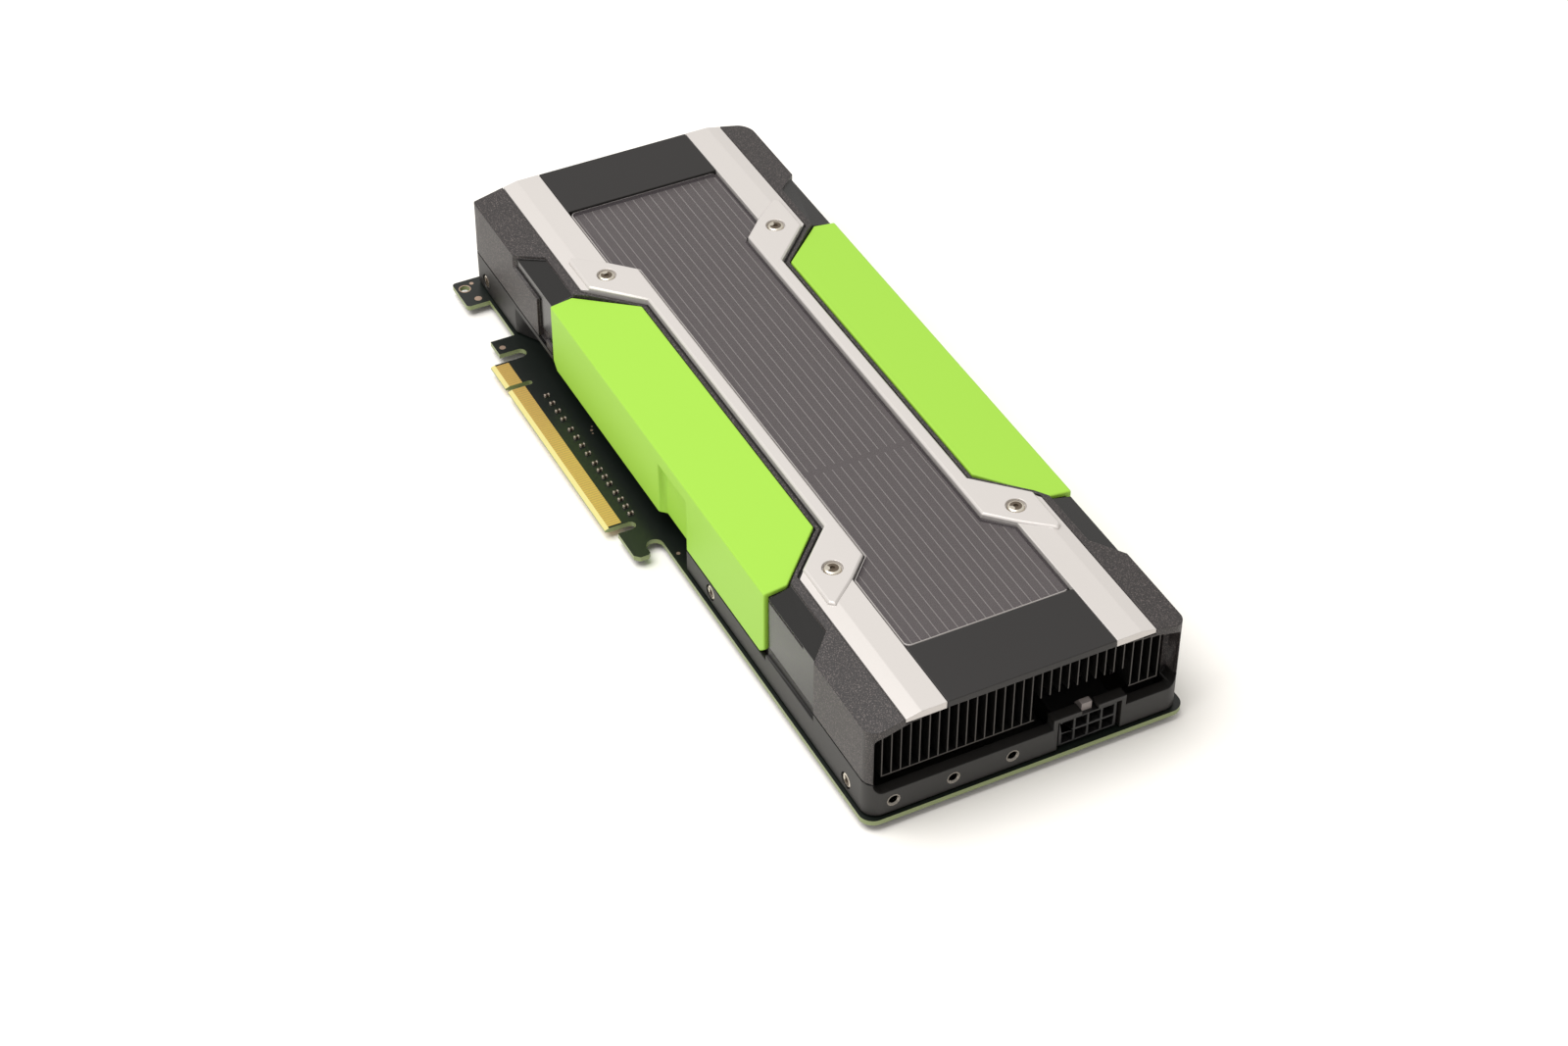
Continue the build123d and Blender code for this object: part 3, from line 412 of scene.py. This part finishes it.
# the socket's walls get painted shade, a dark brown for the shade in the socket; the pads are dip-tinned, the
# recess floors glossy, the pane's rim a painted highlight, and the header's catch a lighter grey as a painted
# reflection
socketShade = makePlain("socket_painted_shade", "5A4E40", roughness=0.4, metallic=0.3)
tinnedPads = makePlain("tinned_pads", "C2A893", roughness=0.35, metallic=0.7)
nodes["board_pads"].material_slots[0].material = tinnedPads
nodes["bracket_inserts"].material_slots[0].material = finishes["plated_brass"]
recessBlack = makeSmoothBlack("smooth_black_plastic", "131211", roughness=0.2)
paneRimHighlight = makePlain("pane_rim_painted_highlight", "A39E9B", roughness=0.15)
catchReflection = makePlain("catch_painted_reflection", "8F8683", roughness=0.45)
print("finishes made:", len(finishes))


# Pieces with softened edges: a copy of the solid, merged, with its sharp edges bevelled
softening = {"merge": 0.002, "sameFace": 1.0, "sharp": 10.0, "profile": 0.5, "flatFaces": 100}


def cleanCopy(nodeName, pieceName):
    source = nodes[nodeName]
    bpy.ops.object.select_all(action="DESELECT")
    piece = bpy.data.objects.new(pieceName, source.data.copy())
    bpy.context.scene.collection.objects.link(piece)
    piece.select_set(True)
    bpy.context.view_layer.objects.active = piece
    bpy.ops.mesh.customdata_custom_splitnormals_clear()
    bpy.ops.object.mode_set(mode="EDIT")
    bpy.ops.mesh.select_all(action="SELECT")
    bpy.ops.mesh.remove_doubles(threshold=mm(softening["merge"]))
    bpy.ops.mesh.dissolve_limited(angle_limit=math.radians(softening["sameFace"]))
    bpy.ops.object.mode_set(mode="OBJECT")
    return piece


def middle(edge):
    return (edge.verts[0].co + edge.verts[1].co) / 2


def bevelEdges(piece, chosen, width, segments):
    # chosen takes an edge and its middle, and says whether the edge is softened; the rest stay crisp
    sharp = math.radians(softening["sharp"])
    bpy.context.view_layer.objects.active = piece
    bpy.ops.object.mode_set(mode="EDIT")
    bpy.context.tool_settings.mesh_select_mode = (False, True, False)
    bpy.ops.mesh.select_all(action="DESELECT")
    bpy.ops.mesh.edges_select_sharp(sharpness=sharp)
    bpy.ops.mesh.mark_sharp()
    bpy.ops.mesh.select_all(action="DESELECT")
    work = bmesh.from_edit_mesh(piece.data)
    for edge in work.edges:
        if edge.is_manifold and edge.is_convex:
            if edge.calc_face_angle() > sharp and chosen(edge, middle(edge)):
                edge.select = True
                edge.smooth = True
    bmesh.update_edit_mesh(piece.data)
    bpy.ops.mesh.bevel(offset=mm(width), segments=segments, profile=softening["profile"], clamp_overlap=True)
    bpy.ops.object.mode_set(mode="OBJECT")


def evenShading(piece):
    # flat faces stay flat, and the rounded edges between them take up the turn
    bpy.ops.object.select_all(action="DESELECT")
    piece.select_set(True)
    bpy.context.view_layer.objects.active = piece
    bpy.ops.object.shade_smooth(keep_sharp_edges=True)
    weighted = piece.modifiers.new("weighted", "WEIGHTED_NORMAL")
    weighted.keep_sharp = True
    weighted.weight = softening["flatFaces"]
    bpy.ops.object.modifier_apply(modifier="weighted")


def finishPiece(piece, nodeName):
    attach(piece, "root")
    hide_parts(nodeName)


def anyEdge(edge, place):
    return True


def coatFaces(piece, material, chosen):
    # gives the chosen faces a second finish
    piece.data.materials.append(material)
    for face in piece.data.polygons:
        if chosen(face):
            face.material_index = len(piece.data.materials) - 1


def cut(piece, tool):
    # takes the tool's shape out of the piece, then deletes the tool
    bpy.ops.object.select_all(action="DESELECT")
    piece.select_set(True)
    bpy.context.view_layer.objects.active = piece
    modifier = piece.modifiers.new("cut", "BOOLEAN")
    modifier.object = tool
    modifier.solver = "EXACT"
    bpy.ops.object.modifier_apply(modifier="cut")
    bpy.data.objects.remove(tool)


# node: name of its piece, slot, width of the soft edge and segments in it
softened = {
    "left_side_panel": ("left_green_panel", "panel_green", 0.5, 3),
    "right_side_panel": ("right_green_panel", "panel_green", 0.5, 3),
    "left_rail": ("left_silver_rail", "rail_paint", 0.22, 2),
    "right_rail": ("right_silver_rail", "rail_paint", 0.22, 2),
    "near_end_panel": ("near_black_panel", "panel_black", 0.25, 2),
    "far_end_panel": ("far_black_panel", "panel_black", 0.25, 2),
    "header_housing": ("header_body", "header_plastic", 0.12, 2),
    "window": ("window_pane", "window_plastic", 0.3, 2),
}
panelGap = {"powerEnd": 0.8, "bracketEnd": 0.2, "from": 55.0}


def openPanelGap(piece):
    # draws the slanted ends of a side panel in a little, so that a dark gap shows round them
    lowest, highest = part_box("shroud")
    centre = (lowest + highest) / 2
    for vertex in piece.data.vertices:
        away = vertex.co.x - centre.x
        if away > mm(panelGap["from"]):
            vertex.co.x -= mm(panelGap["powerEnd"])
        if away < -mm(panelGap["from"]):
            vertex.co.x += mm(panelGap["bracketEnd"])


rim = {"upFrom": 0.05, "upTo": 0.95, "rightTo": 0.2, "floor": 0.05}


def finishWindow(piece):
    # the rim gets a painted highlight, a light opaque colour on its faces, left off where it turns to the
    # right rail and lies in its shade; the underside is raised to leave room for the sheet of fin tops
    coatFaces(piece, paneRimHighlight, lambda face: rim["upFrom"] < face.normal.z < rim["upTo"]
              and face.normal.y < rim["rightTo"])
    for vertex in piece.data.vertices:
        if vertex.co.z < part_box("window")[0].z + mm(rim["floor"]):
            vertex.co.z += mm(finTops["clearance"])


catch = {"height": 2.5}


def softenPieces():
    for nodeName, (pieceName, slotName, width, segments) in softened.items():
        piece = cleanCopy(nodeName, pieceName)
        if slotName == "panel_green":
            openPanelGap(piece)
        bevelEdges(piece, anyEdge, width, segments)
        evenShading(piece)
        finishPiece(piece, nodeName)
        if nodeName == "window":
            finishWindow(piece)
        if nodeName == "header_housing":
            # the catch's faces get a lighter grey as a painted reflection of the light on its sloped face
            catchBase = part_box("header_housing")[1].z - mm(catch["height"])
            coatFaces(piece, catchReflection, lambda face: face.center.z > catchBase)


# The cover: textured shroud over a cast base, with a narrow parting line between them
cover = {"corner": 4.4, "cornerReach": 0.02, "edge": 0.28, "edgeSegments": 2}


def squareFarCorner(piece, lowest, highest):
    # the corner beside the contacts, at the bracket end, has no round
    corner = mm(cover["corner"])
    reach = mm(cover["cornerReach"])
    found = []
    for vertex in piece.data.vertices:
        dx = vertex.co.x - lowest.x - corner
        dy = vertex.co.y - lowest.y - corner
        if dx < reach and dy < reach and abs(math.hypot(dx, dy) - corner) < reach:
            found.append((vertex, dx, dy))
    for vertex, dx, dy in found:
        low = max(v.co.z for v, x, y in found if abs(y + corner) < reach)
        high = max(v.co.z for v, x, y in found if abs(x + corner) < reach)
        onRoof = vertex.co.z > low - reach
        share = max(abs(dx), abs(dy)) / corner
        newX = max(dx / share, -corner) if share else dx
        newY = max(dy / share, -corner) if share else dy
        vertex.co.x = lowest.x + corner + newX
        vertex.co.y = lowest.y + corner + newY
        if onRoof:
            vertex.co.z = low + (high - low) * (newY + corner) / corner


groove = {"height": 0.5, "depth": 0.9, "cornerSegments": 8, "toolMargin": 4.0, "uprightFrom": 1.0}


def grooveTool(lowest, highest):
    # a flat ring round the foot of the shroud: what it overlaps is the groove
    s = groove
    size = highest - lowest
    centre = (lowest + highest) / 2
    margin = mm(s["toolMargin"])
    height = mm(s["height"])
    inner = 2 * mm(s["depth"])
    bpy.ops.object.select_all(action="DESELECT")
    bpy.ops.mesh.primitive_cube_add(size=1, location=(centre.x, centre.y, lowest.z + height / 2),
                                    scale=(size.x + margin, size.y + margin, height))
    ring = bpy.context.object
    bpy.ops.mesh.primitive_cube_add(size=1, location=(centre.x, centre.y, lowest.z),
                                    scale=(size.x - inner, size.y - inner, margin))
    core = bpy.context.object
    for tool in (ring, core):
        tool.select_set(True)
    bpy.ops.object.transform_apply(location=True, rotation=True, scale=True)
    bevelEdges(core, lambda edge, place: abs((edge.verts[0].co - edge.verts[1].co).z) > mm(s["uprightFrom"]),
               cover["corner"] - s["depth"], s["cornerSegments"])
    cut(ring, core)
    return ring


# where the recesses lie, how their roofs slope, and how closely a face has to match a floor
recess = {"depth": 0.9, "start": 71.0, "end": 100.6, "slopeStart": 37.5, "slopeRise": 2.4, "ribDrop": 0.9,
          "footHeight": 1.0, "levelFrom": 0.99, "uprightFrom": 0.95, "slopingFrom": 0.9, "reach": 0.1,
          "slopeReach": 0.3, "sideReach": 0.01}


def recessTest(lowest, highest):
    # tells the floors of the shallow recesses beside the green panels from the rest of the shroud
    s = recess
    centre = (lowest + highest) / 2
    half = (highest.y - lowest.y) / 2
    sideReach = mm(s["sideReach"])
    sides = [v.co for v in nodes["shroud"].data.vertices if abs(abs(v.co.y - centre.y) - half) < sideReach]
    shoulder = max(spot.z for spot in sides)
    slope = mm(s["slopeRise"]) / (half - mm(s["slopeStart"]))

    def inRecess(face):
        ribFloor = abs(face.center.z - highest.z + mm(s["ribDrop"])) < mm(s["reach"])
        if face.normal.z > s["levelFrom"] and ribFloor:
            return True
        x = abs(face.center.x - centre.x)
        y = abs(face.center.y - centre.y)
        if not mm(s["start"]) < x < mm(s["end"]):
            return False
        if abs(face.normal.y) > s["uprightFrom"]:
            sideFloor = abs(y - half + mm(s["depth"])) < mm(s["reach"])
            return sideFloor and face.center.z > lowest.z + mm(s["footHeight"])
        roof = shoulder + slope * (half - y) - mm(s["depth"])
        return face.normal.z > s["slopingFrom"] and abs(face.center.z - roof) < mm(s["slopeReach"])
    return inRecess


def makeCover():
    lowest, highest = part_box("shroud")
    shroud = cleanCopy("shroud", "textured_shroud")
    squareFarCorner(shroud, lowest, highest)
    bevelEdges(shroud, anyEdge, cover["edge"], cover["edgeSegments"])
    cut(shroud, grooveTool(lowest, highest))
    evenShading(shroud)
    coatFaces(shroud, recessBlack, recessTest(lowest, highest))
    finishPiece(shroud, "shroud")
    base = cleanCopy("base_frame", "cast_base")
    squareFarCorner(base, lowest, highest)
    bevelEdges(base, anyEdge, cover["edge"], cover["edgeSegments"])
    evenShading(base)
    finishPiece(base, "base_frame")


underside = {"downFrom": 0.9, "reach": 0.05}


def makeFinSheet():
    # the closed tops of the fins, a thin sheet that lies on the pane's ledge and just clears the pane
    s = finTops
    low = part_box("window")[0].z
    reach = mm(underside["reach"])
    sheet = cleanCopy("window", "fin_top_sheet")
    bpy.ops.object.mode_set(mode="EDIT")
    bpy.context.tool_settings.mesh_select_mode = (False, False, True)
    work = bmesh.from_edit_mesh(sheet.data)
    for face in work.faces:
        facesDown = face.normal.z < -underside["downFrom"]
        face.select = not (facesDown and abs(face.calc_center_median().z - low) < reach)
    bmesh.update_edit_mesh(sheet.data)
    bpy.ops.mesh.delete(type="FACE")
    bpy.ops.mesh.select_all(action="SELECT")
    bpy.ops.mesh.inset(thickness=mm(s["edge"]), depth=0)
    bpy.ops.mesh.select_all(action="INVERT")
    bpy.ops.mesh.delete(type="FACE")
    bpy.ops.mesh.select_all(action="SELECT")
    bpy.ops.mesh.extrude_region_move(TRANSFORM_OT_translate={"value": (0, 0, mm(s["thickness"]))})
    bpy.ops.mesh.select_all(action="SELECT")
    bpy.ops.mesh.normals_make_consistent(inside=False)
    bpy.ops.object.mode_set(mode="OBJECT")
    sheet.data.materials.clear()
    sheet.data.materials.append(tops)
    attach(sheet, "root")


softenPieces()
makeCover()
makeFinSheet()
print("edges softened, parting line cut, fin tops laid")


# Screws: button heads with a hexagon socket
screws = {"headSides": 40, "dome": 0.8, "domeFrom": 0.9, "domeSegments": 5, "socket": 0.82,
          "socketDepth": 0.55, "socketSides": 6, "socketReach": 1.01, "shankSides": 16, "smoothTo": 35.0,
          "finish": "screw_steel"}


def makeScrew(radius, height, shankRadius, shankLength):
    # a screw that points up, with the underside of its head at the origin
    s = screws
    bpy.ops.object.select_all(action="DESELECT")
    bpy.ops.mesh.primitive_cylinder_add(vertices=s["headSides"], radius=mm(radius), depth=mm(height),
                                        location=(0, 0, mm(height) / 2))
    screw = bpy.context.object
    bpy.ops.object.transform_apply(location=True)
    screw.data.materials.append(finishes[s["finish"]])
    domeBase = mm(height) * s["domeFrom"]
    bevelEdges(screw, lambda edge, place: place.z > domeBase, s["dome"], s["domeSegments"])
    bpy.ops.object.select_all(action="DESELECT")
    bpy.ops.mesh.primitive_cylinder_add(vertices=s["socketSides"], radius=mm(s["socket"]),
                                        depth=mm(s["socketDepth"]) * 2, location=(0, 0, mm(height)))
    cut(screw, bpy.context.object)
    middleReach = mm(s["socket"]) * s["socketReach"]
    coatFaces(screw, socketShade, lambda face: math.hypot(face.center.x, face.center.y) < middleReach)
    bpy.ops.object.select_all(action="DESELECT")
    bpy.ops.mesh.primitive_cylinder_add(vertices=s["shankSides"], radius=mm(shankRadius),
                                        depth=mm(shankLength), location=(0, 0, -mm(shankLength) / 2))
    bpy.ops.object.transform_apply(location=True)
    screw.select_set(True)
    bpy.context.view_layer.objects.active = screw
    bpy.ops.object.join()
    return screw


def spreadScrews(screw, name, nodeName, spots, turns):
    # copies the screw to each spot, each copy with its own mesh, and joins them
    copies = []
    for spot, turn in zip(spots, turns):
        mesh = screw.data.copy()
        mesh.transform(Matrix.Translation(spot) @ turn)
        one = bpy.data.objects.new(name, mesh)
        bpy.context.scene.collection.objects.link(one)
        copies.append(one)
    bpy.data.objects.remove(screw)
    bpy.ops.object.select_all(action="DESELECT")
    for one in copies:
        one.select_set(True)
    bpy.context.view_layer.objects.active = copies[0]
    bpy.ops.object.join()
    copies[0].name = name
    bpy.ops.object.shade_smooth_by_angle(angle=math.radians(screws["smoothTo"]))
    finishPiece(copies[0], nodeName)


# turn is in radians: each rail screw stands turned by so much more than the one before
railScrews = {"radius": 2.55, "height": 1.15, "shank": 1.25, "length": 5.0, "fromMiddleX": 73.6,
              "fromMiddleY": 28.4, "belowTop": 0.05, "turn": 0.6}
sideScrews = {"radius": 2.4, "height": 1.05, "shank": 1.25, "length": 5.0, "fromNearEnd": (13.5, 95.4, 258.2),
              "level": 7.87, "sink": 1.25}


def makeScrews():
    r = railScrews
    lowest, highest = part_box("shroud")
    centre = (lowest + highest) / 2
    screw = makeScrew(r["radius"], r["height"], r["shank"], r["length"])
    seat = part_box("left_rail")[1].z - mm(r["belowTop"] + r["height"])
    spots = [Vector((centre.x + i * mm(r["fromMiddleX"]), centre.y + j * mm(r["fromMiddleY"]), seat))
             for i in (-1, 1) for j in (-1, 1)]
    turns = [Matrix.Rotation(r["turn"] * n, 4, "Z") for n in range(len(spots))]
    spreadScrews(screw, "rail_button_screws", "rail_screws", spots, turns)
    b = sideScrews
    screw = makeScrew(b["radius"], b["height"], b["shank"], b["length"])
    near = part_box("circuit_board")[1].x
    spots, turns = [], []
    for distance in b["fromNearEnd"]:
        for side in (-1, 1):
            y = centre.y + side * (highest.y - centre.y - mm(b["sink"]))
            spots.append(Vector((near - mm(distance), y, mm(b["level"]))))
            turns.append(Matrix.Rotation(-side * math.pi / 2, 4, "X"))
    spreadScrews(screw, "frame_button_screws", "frame_side_screws", spots, turns)


makeScrews()
print("screws made")


# Floor, light and camera: sizes and places in metres, the floor's grain and gap in millimetres
studio = {"floor": 6.0, "floorColour": "F4F1EC", "floorRoughness": 0.6, "floorGrain": 0.8,
          "floorDepth": 0.01, "floorGap": 0.05, "world": "FFFDFA", "worldStrength": 0.7,
          "keySize": 1.1, "keyPlace": (-0.1, -0.5, 1.3), "keyPower": 20.0}


def makeStudio():
    s = studio
    bpy.ops.object.select_all(action="DESELECT")
    bpy.ops.mesh.primitive_plane_add(size=s["floor"], location=(0, 0, cadBox[0].z - mm(s["floorGap"])))
    floor = bpy.context.object
    floor.name = "table"
    # a matt white table with a faint grain
    material, shader = newFinish("white_table", {
        "Base Color": linear(s["floorColour"]), "Roughness": s["floorRoughness"]})
    addGrain(material, shader, s["floorGrain"], s["floorDepth"])
    floor.data.materials.append(material)
    world = bpy.data.worlds.new("studio")
    bpy.context.scene.world = world
    world.use_nodes = True
    background = world.node_tree.nodes["Background"]
    background.inputs["Color"].default_value = linear(s["world"])
    background.inputs["Strength"].default_value = s["worldStrength"]
    bpy.ops.object.light_add(type="AREA", location=s["keyPlace"])
    key = bpy.context.object
    key.name = "softbox"
    key.data.shape = "SQUARE"
    key.data.size = s["keySize"]
    key.data.energy = s["keyPower"]
    key.rotation_euler = (Vector((0, 0, 0)) - key.location).to_track_quat("-Z", "Y").to_euler()


view = {"place": (619.66, -313.34, 593.87), "azimuth": -26.868, "elevation": 41.121, "roll": 0.122,
        "focalPixels": 3157.87, "imageWidth": 1600, "sensor": 36.0, "clipFrom": 10.0}


def makeCamera():
    # the view that was fitted to the photo
    v = view
    az, el, roll = (math.radians(v[key]) for key in ("azimuth", "elevation", "roll"))
    back = Vector((math.cos(el) * math.cos(az), math.cos(el) * math.sin(az), math.sin(el)))
    right = Vector((0, 0, 1)).cross(back).normalized()
    up = back.cross(right)
    right, up = (math.cos(roll) * right + math.sin(roll) * up, math.cos(roll) * up - math.sin(roll) * right)
    data = bpy.data.cameras.new("camera")
    data.sensor_width = v["sensor"]
    data.lens = v["focalPixels"] / v["imageWidth"] * v["sensor"]
    data.clip_start = mm(v["clipFrom"])
    camera = bpy.data.objects.new("camera", data)
    bpy.context.scene.collection.objects.link(camera)
    turn = Matrix((right, up, back)).transposed().to_4x4()
    camera.matrix_world = Matrix.Translation(mm(Vector(v["place"]))) @ turn
    bpy.context.scene.camera = camera


makeStudio()
makeCamera()
bpy.context.scene.view_settings.view_transform = "Standard"
print("studio and camera set")
